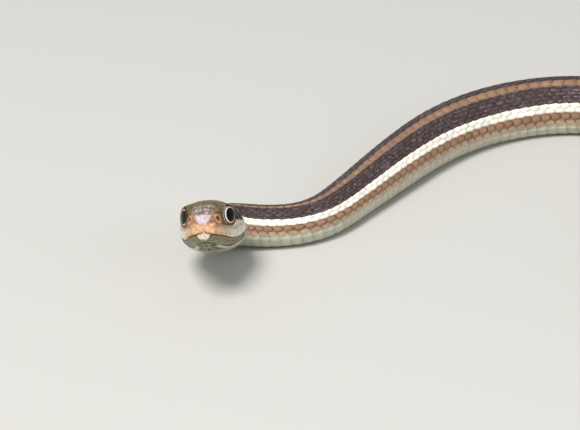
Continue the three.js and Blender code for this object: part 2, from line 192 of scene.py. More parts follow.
def lay_route():
    middles = (np.arange(round(LENGTH / ROUTE_STEP)) + 0.5) * ROUTE_STEP
    heading = turned(FIRST_HEADING, BENDS, middles)
    pitch = -math.radians(HEAD_PITCH) * (1 - smooth((middles - LIFT_MIDDLE) / LIFT_HALF))
    steps = ROUTE_STEP * np.stack([np.cos(pitch) * np.cos(heading), np.cos(pitch) * np.sin(heading),
                                   np.sin(pitch)], axis=1)
    points = np.vstack([np.zeros(3), np.cumsum(steps, axis=0)])
    along = np.arange(len(points)) * ROUTE_STEP
    points[:, 2] += column(SECTIONS, 3, np.maximum(along, LIFT_END)) - BELLY_FLAT - points[-1, 2]
    points[:, 0] -= BASE_MIDDLE[0]
    points[:, 1] -= BASE_MIDDLE[1]
    ahead = np.empty_like(points)
    ahead[1:-1] = points[2:] - points[:-2]
    ahead[0], ahead[-1] = points[1] - points[0], points[-1] - points[-2]
    ahead /= np.linalg.norm(ahead, axis=1)[:, None]
    side = np.stack([-ahead[:, 1], ahead[:, 0], 0 * along], axis=1)
    side /= np.linalg.norm(side, axis=1)[:, None]
    top = np.cross(ahead, side)
    roll = turned(FIRST_ROLL, ROLLS, along)[:, None]
    return (along, points, ahead, side * np.cos(roll) - top * np.sin(roll),
            top * np.cos(roll) + side * np.sin(roll))


ROUTE = lay_route()


def on_route(part, along):
    return np.stack([np.interp(along, ROUTE[0], part[:, axis]) for axis in range(3)], axis=-1)


def place(along, across, up):
    """Lays points of the straight snake on the route, in metres, none of them under the ground."""
    held = np.clip(along, 0, LENGTH)
    ahead, right, top = (on_route(ROUTE[part], held) for part in (2, 3, 4))
    for rows in (ahead, right, top):
        rows /= np.linalg.norm(rows, axis=-1)[..., None]
    spots = (on_route(ROUTE[1], held) + ahead * (along - held)[..., None]
             + right * across[..., None] + top * up[..., None])
    spots[..., 2] = np.maximum(spots[..., 2], 0)
    return spots * MM


def skin(along, angle):
    """Across and up of the skin. The angle is 0 on the back, 90 to the snake's right, 180 below."""
    half, top, bottom, wide = (column(SECTIONS, i, along) for i in (1, 2, 3, 4))
    power = 2 / np.where(np.abs(angle) <= 90, column(SECTIONS, 5, along), column(SECTIONS, 6, along))
    sine = np.abs(np.sin(np.radians(angle))) ** power
    cosine = np.abs(np.cos(np.radians(angle))) ** power
    up = np.where(np.abs(angle) <= 90, wide + (top - wide) * cosine, wide - (bottom + wide) * cosine)
    nose = np.sqrt(1 - (1 - np.clip(along / NOSE_ROUND, 0, 1)) ** 2)
    return np.sign(angle) * half * sine * nose, wide + (up - wide) * nose


def raised(along, angle, height):
    """The same points moved out of the skin, square to it."""
    small = 0.04
    limit = np.clip(angle, -179, 179)
    limit = np.where(np.abs(limit) < 1, np.where(limit < 0, -1.0, 1.0), limit)
    across, up = skin(along, angle)
    ahead_across, ahead_up = (b - a for a, b in zip(skin(np.maximum(along - small, 0.001), limit),
                                                    skin(along + small, limit)))
    length = along + small - np.maximum(along - small, 0.001)
    round_across, round_up = (b - a for a, b in zip(skin(along, limit - 1), skin(along, limit + 1)))
    out_along = -(ahead_across * -round_up + ahead_up * round_across)
    out_across = -round_up * length
    out_up = round_across * length
    size = np.sqrt(out_along ** 2 + out_across ** 2 + out_up ** 2) + 1e-9
    flip = np.sign(out_across * np.sin(np.radians(limit)) + out_up * np.cos(np.radians(limit)))
    step = height * flip / size
    return along + out_along * step, across + out_across * step, up + out_up * step


def angle_across(along, across):
    share = np.clip(np.abs(across) / column(SECTIONS, 1, along), 0, 1)
    return np.sign(across) * np.degrees(np.arcsin(share ** (column(SECTIONS, 5, along) / 2)))


def angle_at_height(along, up):
    wide = column(SECTIONS, 4, along)
    above = np.clip((up - wide) / (column(SECTIONS, 2, along) - wide), 0, 1)
    below = np.clip((wide - up) / (column(SECTIONS, 3, along) + wide), 0, 1)
    return np.where(up >= wide, np.degrees(np.arccos(above ** (column(SECTIONS, 5, along) / 2))),
                    180 - np.degrees(np.arccos(below ** (column(SECTIONS, 6, along) / 2))))


def chart(along, angle):
    """Flat coordinates of the head's hide, in which the outlines of its shields are drawn."""
    reach = (column(SECTIONS, 1, along) + column(SECTIONS, 2, along)) / 2
    return np.stack([along, np.radians(angle) * reach], axis=-1)


# Shields on the top of the head, [along, across] on the right half. The snout is at 0.
CROWN_SHIELDS = [
    [(0.95, 0.0), (2.2, 0.0), (2.35, 1.35), (1.5, 1.45)],
    [(2.25, 0.0), (4.3, 0.0), (4.45, 1.2), (4.65, 2.0), (2.4, 1.7)],
    [(4.5, 1.25), (4.8, 2.3), (6.4, 2.9), (8.35, 2.65), (8.65, 0.9)],
    [(9.1, 0.0), (8.72, 0.92), (8.5, 2.6), (9.4, 3.0), (10.7, 3.3), (13.2, 2.1), (13.8, 0.5), (13.6, 0.0)],
]
FRONTAL = [(4.4, -1.2), (8.6, -0.85), (9.05, 0.0), (8.6, 0.85), (4.4, 1.2)]
# Shields on the side of the head, [along, up].
SIDE_SHIELDS = [
    [(1.0, -0.35), (2.6, -0.5), (2.7, 1.45), (1.3, 1.15)],
    [(2.75, -0.5), (3.75, -0.55), (3.85, 1.35), (2.85, 1.55)],
    [(3.85, -0.6), (4.75, -0.6), (5.0, 2.9), (4.1, 2.4)],
    [(7.95, 1.9), (8.9, 2.1), (8.7, 3.0), (7.8, 3.1)],
    [(8.05, 0.85), (8.95, 0.9), (8.9, 2.0), (8.0, 1.8)],
    [(7.8, -0.35), (9.0, -0.2), (8.95, 0.8), (8.05, 0.75)],
    [(9.1, -0.1), (11.0, 0.35), (10.9, 2.3), (9.05, 2.15)],
    [(11.1, 1.45), (13.1, 1.7), (12.7, 2.7), (11.0, 2.45)],
    [(11.1, 0.3), (13.2, 0.45), (13.1, 1.6), (11.1, 1.35)],
]
UPPER_LIPS = [0.95, 2.35, 3.6, 4.85, 6.1, 7.6, 9.3, 11.2, 12.6]
LOWER_LIPS = [0.95, 1.9, 2.9, 3.95, 5.1, 6.5, 8.0, 9.7, 11.4]
CHIN_SHIELDS = [
    [(2.2, 179.9), (5.0, 179.9), (5.3, 151), (3.2, 148)],
    [(5.1, 179.9), (8.6, 172), (8.8, 158), (5.4, 150)],
]


def lip_band(edges, low, high, top_slope):
    outlines = []
    for front, back in zip(edges[:-1], edges[1:]):
        rows = []
        for along, lift in ((front, low), (back, low), (back, high), (front, high)):
            mouth = float(column(MOUTH, 1, np.array([along]))[0])
            extra = top_slope * (along - edges[0]) if lift == high else 0
            rows.append((along, mouth + lift + extra))
        outlines.append(rows)
    return outlines


def shield_outlines():
    outlines = []
    for corners in CROWN_SHIELDS:
        rows = np.array(corners, float)
        outlines.append((rows[:, 0], np.abs(angle_across(rows[:, 0], rows[:, 1]))))
    for corners in (SIDE_SHIELDS + lip_band(UPPER_LIPS, 0.0, 1.35, 0.02)
                    + lip_band(LOWER_LIPS, -0.9, 0.0, -0.02)):
        rows = np.array(corners, float)
        outlines.append((rows[:, 0], angle_at_height(rows[:, 0], rows[:, 1])))
    for corners in CHIN_SHIELDS:
        rows = np.array(corners, float)
        outlines.append((rows[:, 0], rows[:, 1]))
    both = []
    for along, angle in outlines:
        both.append(chart(along, angle))
        both.append(chart(along, -angle))
    rows = np.array(FRONTAL, float)
    both.append(chart(rows[:, 0], angle_across(rows[:, 0], rows[:, 1])))
    return both


def seams(along, angle):
    """Distance to the nearest shield edge in millimetres."""
    spots = chart(along, angle)
    nearest = np.full(len(along), 9.0)
    for outline in shield_outlines():
        for a, b in zip(outline, np.roll(outline, -1, axis=0)):
            edge = b - a
            t = np.clip(((spots - a) @ edge) / (edge @ edge + 1e-9), 0, 1)
            nearest = np.minimum(nearest, np.linalg.norm(spots - a - t[:, None] * edge, axis=1))
    return nearest


def bump(x, middle, width):
    return np.exp(-((x - middle) / width) ** 2)


def ramp(x, low, high):
    t = np.clip((x - low) / (high - low), 0, 1)
    return t * t * (3 - 2 * t)


def mouth_line(along, across):
    """Height of the line of the mouth, with the small notch for the tongue in the middle."""
    return column(MOUTH, 1, along) + 0.12 * bump(across, 0, 0.45) * (1 - ramp(along, 0.3, 0.8))


# Eyes stand in round openings in the sides of the head, behind the middle of the snout.
EYE_AT = 6.4
EYE_ACROSS = 2.75
EYE_UP = 1.3
EYE_OUTWARD = 60
EYE_SINK = 0.635
EYE_RADIUS = 1.62
EYE_DOME = 0.6
EYE_OPENING = 1.42
EYE_FADE = 2.25
UNDER_EYE = 0.2
RIM_OUT = 0.90
RIM_AT = 1.56
RIM_BEAD = 0.03
FRONT_COVER = 0.09


def from_eye(along, across, up):
    """Places counted from the eye on their side: off its line of sight, out on it, and ahead."""
    turn = math.radians(EYE_OUTWARD)
    ahead, outward, above = EYE_AT - along, np.abs(across) - EYE_ACROSS, up - EYE_UP
    out = ahead * math.cos(turn) + outward * math.sin(turn)
    front = ahead * math.sin(turn) - outward * math.cos(turn)
    return np.hypot(front, above), out, front


def eye_opening(away, front):
    """Radius of the opening in the skin, which covers more of the eye in front."""
    return EYE_OPENING - FRONT_COVER * ramp(front / (away + 1e-6), 0.2, 0.7)


# Colours of the head, and the edges of its pale cheeks and throat.
OLIVE = (0.135, 0.092, 0.018)
SNOUT_GREY = (0.185, 0.140, 0.115)
LOREAL = (0.125, 0.076, 0.036)
NASAL = (0.37, 0.175, 0.085)
PEACH = (0.67, 0.395, 0.215)
# A painted pinkish highlight for the top of the snout's tip.
PINK_HIGHLIGHT = (0.56, 0.465, 0.59)
CREAM = (0.72, 0.70, 0.57)
# Dark olive of the lower jaw, partly its own colour and partly painted shade under it; lighter next to the
# lip.
CHIN_IN_SHADE = (0.080, 0.070, 0.012)
LOWER_LIP_IN_SHADE = (0.125, 0.110, 0.040)
PLATE_EDGE = (0.42, 0.40, 0.27)
SHADOW = (0.05, 0.028, 0.018)
THROAT = (0.37, 0.37, 0.255)
MENTAL = (0.66, 0.57, 0.47)
BLACK = (0.014, 0.011, 0.009)
WHITE = (0.95, 0.94, 0.90)
SEAM_WIDTH = 0.07
CHEEK_TOP = np.array([(0, -0.1), (1, -0.3), (4.6, -0.45), (6.4, -0.3), (7.8, 0.35), (9, 0.72), (12, 0.8),
                      (14.5, 1.6), (17.5, 2.3)])
THROAT_EDGE = np.array([(4, 164), (5.4, 156), (9.8, 149), (11.5, 130), (13.5, 106)])

# Colours of the body, and the angles from the middle of the back where they change.
BACK = (0.062, 0.036, 0.034)
SPINE = (0.33, 0.20, 0.125)
STRIPE = (0.95, 0.93, 0.87)
FLANK = (0.33, 0.185, 0.105)
BELLY = (0.49, 0.48, 0.375)
SPINE_WIDTH = np.array([(13, 4.5), (30, 6), (60, 9), (430, 9), (560, 14)])
STRIPE_TOP = 47.5
STRIPE_SET = 22.5
STRIPE_START = np.array([(12.5, 77), (14.5, 68), (18, 56), (STRIPE_SET, STRIPE_TOP)])
STRIPE_LOW = 67.5
LOW_ROW = 83
BELLY_EDGE = 98
FLANK_START = 19
FLANK_FULL = 27
# The hide under the scales is painted darker, at this share of its colour, as painted shade between the
# scales.
UNDER_SCALES_SHADE = 0.55


def mixed(base, colour, share):
    return base * (1 - share[..., None]) + np.array(colour) * share[..., None]


def body_tint(along, angle, soft):
    """Colour of the hide of the body."""
    turn = np.abs(angle)
    spine = column(SPINE_WIDTH, 1, along)
    tint = np.zeros(turn.shape + (3,)) + np.array(BACK)
    tint = mixed(tint, SPINE, 1 - ramp(turn, spine - soft, spine + soft))
    top = column(STRIPE_START, 1, along)
    tint = mixed(tint, STRIPE, ramp(turn, top - soft, top + soft))
    flank = ramp(turn, STRIPE_LOW - soft, STRIPE_LOW + soft)
    tint = mixed(tint, CREAM, flank)
    tint = mixed(tint, FLANK, flank * ramp(along, FLANK_START, FLANK_FULL))
    return mixed(tint, BELLY, ramp(turn, BELLY_EDGE - soft, BELLY_EDGE + soft))


def head_tint(along, angle, seam, nostril):
    """Colours of the head, and how strongly the fine pale flecks show."""
    across, up = skin(along, angle)
    side, turn = np.abs(across), np.abs(angle)
    over_lip = up - mouth_line(along, across)
    # The olive crown, greyer and more flecked on the snout.
    tint = np.zeros((len(along), 3)) + np.array(OLIVE)
    snout = (1 - ramp(along, 2.6, 4.2)) * ramp(up, 0.9, 1.3) * (1 - ramp(side, 1.3, 2.1))
    tint = mixed(tint, SNOUT_GREY, 0.85 * snout)
    fleck_and_sheen = 0.18 + 0.6 * snout
    # Brown between the nostril and the eye, with a paler ring round the nostril.
    loreal = ramp(along, 2.2, 2.8) * (1 - ramp(along, 7, 8)) * (1 - ramp(up, 1.4, 2.1))
    tint = mixed(tint, LOREAL, loreal)
    nasal = ramp(side, 1.0, 1.5) * (1 - ramp(along, 2.5, 2.9)) * (1 - ramp(up, 1.2, 1.6))
    tint = mixed(tint, NASAL, nasal)
    tint = mixed(tint, PEACH, nasal * bump(nostril, 0.62, 0.14))
    # The peach shield at the tip of the snout, with a painted pinkish highlight that grows towards its top.
    width = 0.75 + 0.45 * np.clip(up, -0.9, 1.1)
    rostral = (1 - ramp(side, width - 0.35, width + 0.4)) * (1 - ramp(up, 0.8, 1.3))
    rostral = rostral * (1 - ramp(along, 1.0, 1.4))
    tint = mixed(mixed(tint, PEACH, rostral), PINK_HIGHLIGHT, rostral * ramp(up, -1.0, 0.5))
    fleck_and_sheen = fleck_and_sheen * (1 - 0.5 * rostral)
    # Peach upper lips, that turn cream towards the cheek.
    top = column(CHEEK_TOP, 1, along) - 0.45 * (1 - ramp(along, 0.2, 1.0)) * (1 - ramp(side, 0.3, 1.3))
    lips = 1 - ramp(up, top - 0.25, top + 0.25)
    tint = mixed(tint, PEACH, lips)
    cheek = lips * (0.3 * ramp(along, 1.2, 2.5) + 0.7 * ramp(along, 3.6, 7.0))
    tint = mixed(tint, CREAM, cheek)
    tint = mixed(tint, WHITE, 0.6 * lips * bump(along, 8.3, 0.8) * ramp(up, -0.7, 0.1))
    fleck_and_sheen = fleck_and_sheen * (1 - 0.9 * lips) * (1 - 0.6 * np.maximum(nasal, loreal))
    # The dark patch behind the eye.
    patch = ramp(along, 7.2, 7.8) * ramp(up, top + 0.1, top + 0.35) * ramp(turn, 40, 50)
    tint = mixed(tint, BLACK, 0.97 * patch)
    fleck_and_sheen = fleck_and_sheen * (1 - patch)
    # The dark rim of the eye, with a painted white highlight as a crescent in front of the left one.
    away, out, front = from_eye(along, across, up)
    near = out > -0.7
    tint = mixed(tint, BLACK, 0.9 * near * (1 - ramp(away, 1.58, 1.72)))
    opening = eye_opening(away, front)
    painted_glint = ramp(away, opening - 0.04, opening + 0.01) * (1 - ramp(away, opening + 0.12, opening + 0.34))
    tint = mixed(tint, WHITE, near * painted_glint * (across < 0) * ramp(front / (away + 1e-6), 0.4, 0.75))
    # The lower jaw: dark olive shields, painted darker still as shade under the jaw and darkest furthest
    # under the lip, with pale edges, one pale shield in front, a pale throat.
    below = 1 - ramp(over_lip, -0.06, 0.02)
    chin = np.zeros((len(along), 3)) + np.array(CHIN_IN_SHADE)
    chin = mixed(chin, LOWER_LIP_IN_SHADE, 1 - ramp(-over_lip, 0.75, 1.0))
    chin = mixed(chin, PLATE_EDGE, 0.8 * bump(seam, 0.13, 0.09))
    edge = column(THROAT_EDGE, 1, along)
    throat = ramp(along, 8.0, 11.5) * ramp(turn, edge - 2, edge + 3) * ramp(-over_lip, 0.3, 0.8)
    chin = mixed(chin, THROAT, throat)
    rim = bump(turn, edge, 4.2) * ramp(along, 4.5, 5.5) * ramp(-over_lip, 0.3, 0.8)
    chin = mixed(chin, CREAM, 0.95 * rim)
    mental = 1 - ramp(np.hypot(side / 1.15, over_lip), 0.8, 0.98)
    mental = mental * (1 - ramp(along, 0.85, 1.1))
    chin = mixed(chin, MENTAL, mental)
    tint = tint * (1 - below)[:, None] + chin * below[:, None]
    fleck_and_sheen = fleck_and_sheen * (1 - below) + 0.12 * below
    # Shadow in the seams, the line of the mouth and the nostrils.
    groove = 0.45 * bump(seam, 0, SEAM_WIDTH)
    mouth = (1 - ramp(along, MOUTH_CORNER - 0.8, MOUTH_CORNER)) * bump(over_lip, 0, 0.07)
    pit = 1 - ramp(nostril, 0.30, 0.44)
    tint = mixed(tint, SHADOW, np.maximum(groove, np.maximum(0.7 * mouth, 0.95 * pit)))
    # The colours of the body take over on the neck.
    neck = ramp(along, 12.8, 15.2)
    tint = tint * (1 - neck)[:, None] + body_tint(along, angle, 3) * neck[:, None]
    return np.column_stack([tint, fleck_and_sheen * (1 - neck)])


# Rings of points of the skin, fine over the head and coarser under the scales of the body.
HEAD_JOIN = 17.5
AROUND_HEAD = 240
AROUND_BODY = 48
NOSE_POINT = (-0.02, -0.4)
TAIL_POINT = (LENGTH + 0.1, 0)

nose_rings = NOSE_ROUND * (1 - np.cos(np.linspace(0.12, math.pi / 2, 12)))
head_rings = np.concatenate([nose_rings, np.arange(NOSE_ROUND + 0.1, HEAD_JOIN + 0.01, 0.1)])
body_rings = np.concatenate([np.arange(HEAD_JOIN + 0.5, 60, 0.6), np.arange(60, LENGTH, 1.0), [LENGTH]])

# Heights and depths of the relief of the head.
SHIELD_RISE = 0.05
SHIELDS_END = (13.0, 14.5)
LIP_GROOVE = 0.34
LIP_SWELL = 0.09
JAW_INSET = 0.13
CHEEK_HOLLOW = 0.12
BROW_RISE = 0.16
JAW_SWELL = 0.12
CHIN_GROOVE = 0.12
NOSTRIL_RIM = 0.06
NOSTRIL_DEPTH = 0.4


def head_shape(along, angle):
    """The relief of the head: lips, shields with seams, brows, pits of the nostrils, eye sockets."""
    across, up = skin(along, angle)
    side = np.abs(across)
    seam = seams(along, angle)
    fade = 1 - ramp(along, *SHIELDS_END)
    height = fade * (SHIELD_RISE * ramp(seam, 0.0, 0.25) - SHIELD_RISE * bump(seam, 0, SEAM_WIDTH))
    over_lip = up - mouth_line(along, across)
    lips = 1 - ramp(along, MOUTH_CORNER - 0.8, MOUTH_CORNER)
    height += lips * (LIP_SWELL * bump(over_lip, 0.35, 0.28) - LIP_GROOVE * bump(over_lip, 0, 0.09))
    height -= lips * JAW_INSET * (over_lip < 0) * (1 - ramp(-over_lip, 0.6, 1.6))
    height -= CHEEK_HOLLOW * bump(along, 3.9, 0.9) * bump(up, 0.9, 0.8) * ramp(side, 1.5, 2.2)
    height += BROW_RISE * bump(along, 6.5, 1.8) * bump(up, 3.15, 0.5) * ramp(side, 1.6, 2.4)
    height += JAW_SWELL * bump(along, 12.0, 1.6) * bump(up, 0.2, 1.2)
    under_chin = (up < -1.5) * ramp(along, 2.2, 3) * (1 - ramp(along, 8, 10))
    height -= CHIN_GROOVE * bump(across, 0, 0.14) * under_chin
    nostril = np.hypot(along - NOSTRIL[0], up - NOSTRIL[1]) + 9 * (side < 0.8)
    height += NOSTRIL_RIM * bump(nostril, 0.55, 0.15) - NOSTRIL_DEPTH * (1 - ramp(nostril, 0.12, 0.40))
    new_along, new_across, new_up = raised(along, angle, height)
    # Round the eye the skin turns to a raised rim, and inside it passes behind the eye.
    away, out, front = from_eye(new_along, new_across, new_up)
    relax = ramp(away, EYE_RADIUS, EYE_FADE)
    rim = RIM_OUT + RIM_BEAD * bump(away, RIM_AT, 0.10)
    behind = EYE_DOME * np.sqrt(np.maximum(1 - (away / EYE_RADIUS) ** 2, 0.02))
    under = EYE_SINK + behind - UNDER_EYE
    opening = eye_opening(away, front)
    edge = ramp(away, opening - 0.06, opening + 0.06)
    target = (rim * (1 - relax) + out * relax) * edge + np.minimum(out, under) * (1 - edge)
    push = target - out
    turn = math.radians(EYE_OUTWARD)
    new_along = new_along - push * math.cos(turn)
    new_across = new_across + np.sign(new_across) * push * math.sin(turn)
    return new_along, new_across, new_up, seam, nostril


def ring_faces(first, rings, around):
    faces = []
    for ring in range(rings - 1):
        for i in range(around):
            a = first + ring * around + i
            b = first + ring * around + (i + 1) % around
            faces.append((a, a + around, b + around, b))
    return faces


def skin_mesh():
    turns = np.linspace(-180, 180, AROUND_HEAD, endpoint=False) + 180 / AROUND_HEAD
    along, angle = (part.ravel() for part in np.meshgrid(head_rings, turns, indexing="ij"))
    s, x, z, seam, nostril = head_shape(along, angle)
    spots = [place(s, x, z)]
    tints = [head_tint(along, angle, seam, nostril)]
    fewer = np.linspace(-180, 180, AROUND_BODY, endpoint=False) + 180 / AROUND_HEAD
    along, angle = (part.ravel() for part in np.meshgrid(body_rings, fewer, indexing="ij"))
    x, z = skin(along, angle)
    spots.append(place(along, x, z))
    # Painted shade: the hide under the scales is darker.
    tints.append(np.column_stack([body_tint(along, angle, 1.5) * UNDER_SCALES_SHADE, 0 * along]))
    for s, z in (NOSE_POINT, TAIL_POINT):
        spots.append(place(np.array([s]), np.array([0.0]), np.array([z])))
    # The tip of the snout takes the painted pinkish highlight.
    tints.append(np.array([PINK_HIGHLIGHT + (0,), BACK + (0,)]))
    first = len(head_rings) * AROUND_HEAD
    faces = ring_faces(0, len(head_rings), AROUND_HEAD) + ring_faces(first, len(body_rings), AROUND_BODY)
    last = first - AROUND_HEAD
    step = AROUND_HEAD // AROUND_BODY
    for i in range(AROUND_BODY):
        head = [last + (i * step + k) % AROUND_HEAD for k in range(step + 1)]
        faces.append(tuple(reversed(head)) + (first + i, first + (i + 1) % AROUND_BODY))
    tip = first + len(body_rings) * AROUND_BODY
    for i in range(AROUND_HEAD):
        faces.append((i, (i + 1) % AROUND_HEAD, tip))
    for i in range(AROUND_BODY):
        faces.append((tip - AROUND_BODY + (i + 1) % AROUND_BODY, tip - AROUND_BODY + i, tip + 1))
    return np.vstack(spots), faces, np.vstack(tints)


def new_piece(name, spots, faces, tint):
    mesh = bpy.data.meshes.new(name)
    mesh.from_pydata(spots.tolist(), [], faces)
    layer = mesh.color_attributes.new("Tint", "FLOAT_COLOR", "POINT")
    layer.data.foreach_set("color", tint.astype(np.float32).ravel())
    piece = bpy.data.objects.new(name, mesh)
    bpy.context.scene.collection.objects.link(piece)
    bpy.ops.object.select_all(action="DESELECT")
    bpy.context.view_layer.objects.active = piece
    piece.select_set(True)
    bpy.ops.object.mode_set(mode="EDIT")
    bpy.ops.mesh.select_all(action="SELECT")
    bpy.ops.mesh.normals_make_consistent(inside=False)
    bpy.ops.object.mode_set(mode="OBJECT")
    bpy.ops.object.shade_smooth()
    return piece


def pigment_group():
    """Fine uneven pigment with wavy pale flecks, shared by every finish of the snake; on the scales the
    flecks are a painted lilac sheen.
    """
    group = bpy.data.node_groups.new("pigment_and_sheen", "ShaderNodeTree")
    for socket, kind in (("Colour", "Color"), ("Size", "Float"), ("Amount", "Float"), ("Fleck", "Color"),
                         ("Share", "Float")):
        group.interface.new_socket(socket, in_out="INPUT", socket_type="NodeSocket" + kind)
    group.interface.new_socket("Colour", in_out="OUTPUT", socket_type="NodeSocketColor")
    group.interface.new_socket("Height", in_out="OUTPUT", socket_type="NodeSocketFloat")
    nodes, links = group.nodes, group.links
    given = nodes.new("NodeGroupInput")
    result = nodes.new("NodeGroupOutput")
    where = nodes.new("ShaderNodeTexCoord")

    def noise_of(detail, distortion):
        noise = nodes.new("ShaderNodeTexNoise")
        noise.inputs["Detail"].default_value = detail
        noise.inputs["Distortion"].default_value = distortion
        links.new(where.outputs["Object"], noise.inputs["Vector"])
        links.new(given.outputs["Size"], noise.inputs["Scale"])
        return noise

    def spread_of(source, low, high, to_low, to_high):
        spread = nodes.new("ShaderNodeMapRange")
        spread.inputs["From Min"].default_value = low
        spread.inputs["From Max"].default_value = high
        spread.inputs["To Min"].default_value = to_low
        spread.inputs["To Max"].default_value = to_high
        links.new(source, spread.inputs["Value"])
        return spread.outputs["Result"]

    def maths(operation, first, second, third=None):
        node = nodes.new("ShaderNodeMath")
        node.operation = operation
        for number, value in enumerate((first, second, third)):
            if isinstance(value, (int, float)):
                node.inputs[number].default_value = value
            elif value is not None:
                links.new(value, node.inputs[number])
        return node.outputs[0]

    grain = noise_of(4, 0)
    unevenness = spread_of(grain.outputs["Fac"], 0.3, 0.7, -1, 1)
    share = maths("MULTIPLY_ADD", unevenness, given.outputs["Amount"], 1)
    tone = nodes.new("ShaderNodeVectorMath")
    tone.operation = "SCALE"
    links.new(given.outputs["Colour"], tone.inputs[0])
    links.new(share, tone.inputs["Scale"])
    wrinkle = noise_of(2, 1.0)
    links.new(maths("MULTIPLY", given.outputs["Size"], 0.42), wrinkle.inputs["Scale"])
    off_middle = maths("ABSOLUTE", maths("SUBTRACT", wrinkle.outputs["Fac"], 0.5), 0)
    mask = maths("MULTIPLY", spread_of(off_middle, 0.010, 0.055, 1, 0), given.outputs["Share"])
    blend = nodes.new("ShaderNodeMix")
    blend.data_type = "RGBA"
    links.new(mask, blend.inputs[0])
    links.new(tone.outputs[0], blend.inputs[6])
    links.new(given.outputs["Fleck"], blend.inputs[7])
    links.new(blend.outputs[2], result.inputs["Colour"])
    links.new(grain.outputs["Fac"], result.inputs["Height"])
    return group


pigment_and_sheen = pigment_group()
COAT_SHARE = 0.25
COAT_ROUGHNESS = 0.25
GLOW = 0.06
GLOW_COLOURS = (1.0, 0.5, 0.3)
GLOW_DEPTH = 0.0004
RELIEF_DEPTH = 0.00006


def hide_finish(name, size, amount, fleck_and_sheen, roughness, shine, relief):
    finish = bpy.data.materials.new(name)
    finish.use_nodes = True
    nodes, links = finish.node_tree.nodes, finish.node_tree.links
    shader = nodes["Principled BSDF"]
    shader.inputs["Roughness"].default_value = roughness
    shader.inputs["Specular IOR Level"].default_value = 0.5 * shine
    shader.inputs["Coat Weight"].default_value = COAT_SHARE * shine
    shader.inputs["Coat Roughness"].default_value = COAT_ROUGHNESS
    shader.inputs["Subsurface Weight"].default_value = GLOW
    shader.inputs["Subsurface Radius"].default_value = GLOW_COLOURS
    shader.inputs["Subsurface Scale"].default_value = GLOW_DEPTH
    tint = nodes.new("ShaderNodeAttribute")
    tint.attribute_name = "Tint"
    mottle = nodes.new("ShaderNodeGroup")
    mottle.node_tree = pigment_and_sheen
    mottle.inputs["Size"].default_value = size
    mottle.inputs["Amount"].default_value = amount
    mottle.inputs["Fleck"].default_value = fleck_and_sheen + (1,)
    links.new(tint.outputs["Color"], mottle.inputs["Colour"])
    links.new(tint.outputs["Alpha"], mottle.inputs["Share"])
    links.new(mottle.outputs["Colour"], shader.inputs["Base Color"])
    relief_node = nodes.new("ShaderNodeBump")
    relief_node.inputs["Strength"].default_value = relief
    relief_node.inputs["Distance"].default_value = RELIEF_DEPTH
    links.new(mottle.outputs["Height"], relief_node.inputs["Height"])
    links.new(relief_node.outputs["Normal"], shader.inputs["Normal"])
    return finish


spots, faces, tint = skin_mesh()
hide = new_piece("skin", spots, faces, tint)
hide.data.materials.append(hide_finish("hide_of_the_head", size=2600, amount=0.30, fleck_and_sheen=(0.62, 0.55, 0.52),
                                       roughness=0.45, shine=0.36, relief=0.8))
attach(hide, "root")
flesh = [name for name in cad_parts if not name.startswith("eye")]
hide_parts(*flesh)

# Eyes: lens-shaped under a clear dry scale, with a round blue-black pupil, a thin pale orange ring
# and a dark brown rest, and a painted white highlight on the front of the left eye's ring. Each is a
# flattened globe whose pole looks out of the opening in the skin.
PUPIL = (0.003, 0.005, 0.010)
PUPIL_RADIUS = 1.12
RING = (0.88, 0.58, 0.33)
RING_RADIUS = 1.26
IRIS = (0.16, 0.062, 0.020)
EYE_ROUGHNESS = 0.10
EYE_SHINE = 0.10
CLEAR_SCALE = 0.06
# Each eye's side, name, the solid that it replaces and the colour of its ring in front, which is a painted
# white highlight on the left eye.
EYES = [(1, "right_eye", "eye_right", IRIS), (-1, "left_eye", "eye_left", WHITE)]


def eye_tint(front, above, crescent):
    """Colours by place on the face of the eye, ahead of and above its middle in millimetres."""
    tint = mixed(np.zeros((len(front), 3)) + np.array(BLACK), IRIS, 1 - ramp(above, -1.0, -0.2))
    # The front of the ring takes the crescent's colour: a painted white highlight on the left eye.
    ring = mixed(np.zeros((len(front), 3)) + np.array(RING), crescent, ramp(front, 0.35, 0.75))
    share = 1 - ramp(np.hypot(front - 0.02, above - 0.08), RING_RADIUS - 0.02, RING_RADIUS + 0.03)
    tint = tint * (1 - share)[:, None] + ring * share[:, None]
    from_pupil = np.hypot(front, above - 0.09)
    return mixed(tint, PUPIL, 1 - ramp(from_pupil, PUPIL_RADIUS - 0.03, PUPIL_RADIUS + 0.02))


eye_gloss = bpy.data.materials.new("eye_gloss")
eye_gloss.use_nodes = True
eye_shader = eye_gloss.node_tree.nodes["Principled BSDF"]
eye_shader.inputs["Roughness"].default_value = EYE_ROUGHNESS
eye_shader.inputs["Specular IOR Level"].default_value = EYE_SHINE
eye_shader.inputs["Coat Weight"].default_value = CLEAR_SCALE
eye_shader.inputs["Coat Roughness"].default_value = 0.02
eye_colour = eye_gloss.node_tree.nodes.new("ShaderNodeAttribute")
eye_colour.attribute_name = "Tint"
eye_gloss.node_tree.links.new(eye_colour.outputs["Color"], eye_shader.inputs["Base Color"])

